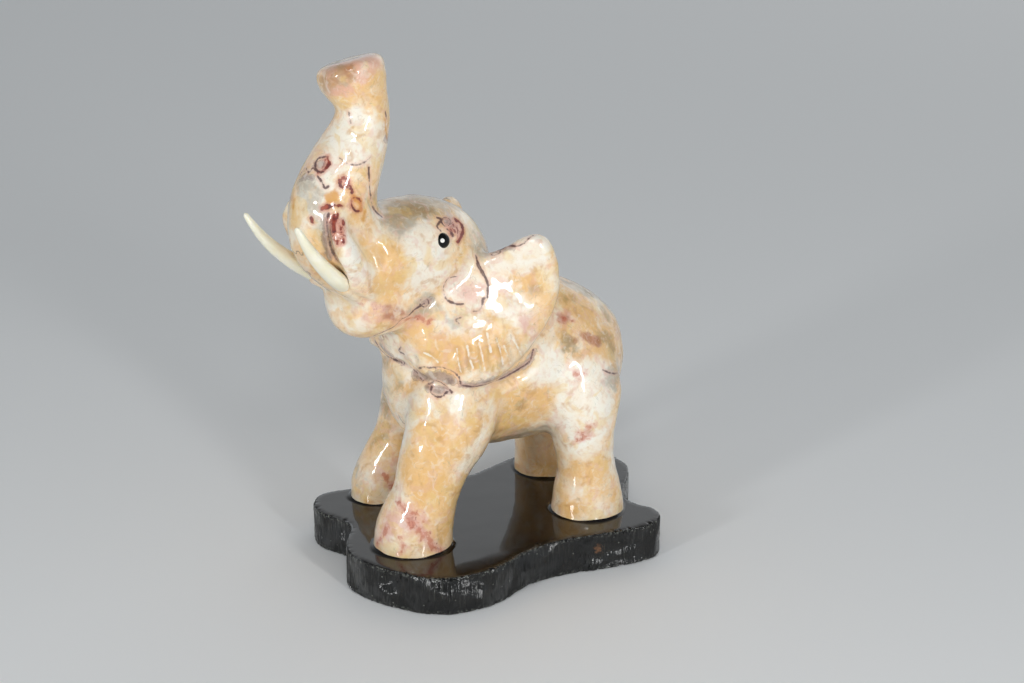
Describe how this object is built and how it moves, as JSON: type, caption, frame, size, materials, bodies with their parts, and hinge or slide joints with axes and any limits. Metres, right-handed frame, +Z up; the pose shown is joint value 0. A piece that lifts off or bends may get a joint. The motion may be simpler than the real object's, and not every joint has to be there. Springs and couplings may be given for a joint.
{
  "type": "elephant figurine",
  "caption": "Small carved and polished stone elephant with a raised trunk, inset pale tusks and bead eyes, standing on a wavy plinth of black stone.",
  "frame": {"origin": "on the plinth's underside, below the elephant's midline and about halfway between its fore and hind feet", "axes": "+Z up, -Y the way the elephant faces, +X its left side"},
  "size_m": [0.0441, 0.0776, 0.0969],
  "materials": {
    "onyx_marble": "polished and clear lacquered, cream to ochre with rust and grey veins",
    "black_stone": "lacquered top, rough sawn sides",
    "ivory_resin": "polished, slightly translucent",
    "black_glass": "glossy, opaque"
  },
  "bodies": {
    "root": {"elephant": "onyx_marble", "plinth": "black_stone", "tusk_left": "ivory_resin", "tusk_right": "ivory_resin", "eye_left": "black_glass", "eye_right": "black_glass"}
  },
  "joints": []
}
